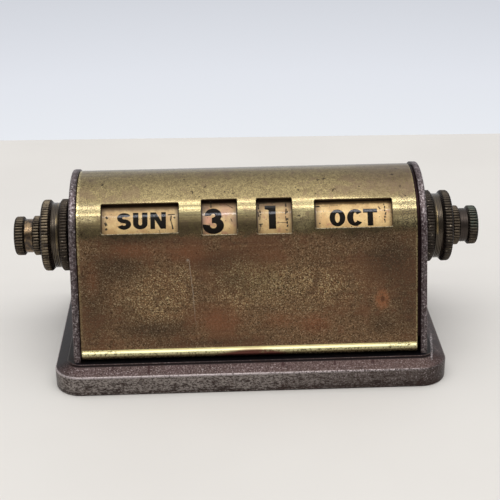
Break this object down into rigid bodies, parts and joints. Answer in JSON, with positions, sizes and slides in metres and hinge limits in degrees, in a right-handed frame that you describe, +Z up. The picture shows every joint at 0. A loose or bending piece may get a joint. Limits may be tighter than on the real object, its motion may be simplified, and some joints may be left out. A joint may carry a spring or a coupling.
{
  "type": "perpetual desk calendar",
  "caption": "Desk calendar: rolled brass hood on a steel base, with windows over lettered drums that concentric side knobs turn.",
  "frame": {"origin": "on the table, under the middle of the base", "axes": "+Z up, +X to the right along the drum axis, -Y towards the reader"},
  "size_m": [0.1382, 0.067, 0.0555],
  "materials": {
    "tray_steel": "tarnished nickel plate, pitted",
    "plate_steel": "tarnished nickel plate, pitted",
    "hood_brass": "aged brass with brown patina",
    "knob_brass": "blackened brass, knurled rims",
    "shaft_brass": "turned brass",
    "spindle_steel": "turned steel",
    "fastener_steel": "plain steel",
    "drum_tin": "tinned steel",
    "band_paper": "glazed, yellowed paper",
    "base_card": "pasteboard"
  },
  "bodies": {
    "root": {"base_tray": "tray_steel", "base_card": "base_card", "left_end_plate": "plate_steel", "right_end_plate": "plate_steel", "plate_screws": "fastener_steel", "plate_nuts": "fastener_steel", "hood": "hood_brass", "left_bush": "shaft_brass", "right_bush": "shaft_brass", "left_washer": "fastener_steel", "right_washer": "fastener_steel", "tens_washer": "fastener_steel", "units_washer": "fastener_steel", "centre_bracket": "plate_steel", "centre_bush": "shaft_brass", "bracket_rivets": "fastener_steel"},
    "weekday": {"weekday_knob": "knob_brass", "left_sleeve": "shaft_brass", "left_collar": "shaft_brass", "weekday_drum": "drum_tin", "weekday_band": "band_paper"},
    "tens": {"tens_knob": "knob_brass", "left_spindle": "spindle_steel", "tens_drum": "drum_tin", "tens_band": "band_paper"},
    "units": {"units_knob": "knob_brass", "right_spindle": "spindle_steel", "units_drum": "drum_tin", "units_band": "band_paper"},
    "month": {"month_knob": "knob_brass", "right_sleeve": "shaft_brass", "right_collar": "shaft_brass", "month_drum": "drum_tin", "month_band": "band_paper"}
  },
  "joints": [
    {"name": "weekday_turn", "type": "hinge", "parent": "root", "child": "weekday", "pos_m": [0, 0, 0.036], "axis": [1, 0, 0], "continuous": true},
    {"name": "tens_turn", "type": "hinge", "parent": "root", "child": "tens", "pos_m": [0, 0, 0.036], "axis": [1, 0, 0], "continuous": true},
    {"name": "units_turn", "type": "hinge", "parent": "root", "child": "units", "pos_m": [0, 0, 0.036], "axis": [1, 0, 0], "continuous": true},
    {"name": "month_turn", "type": "hinge", "parent": "root", "child": "month", "pos_m": [0, 0, 0.036], "axis": [1, 0, 0], "continuous": true}
  ]
}
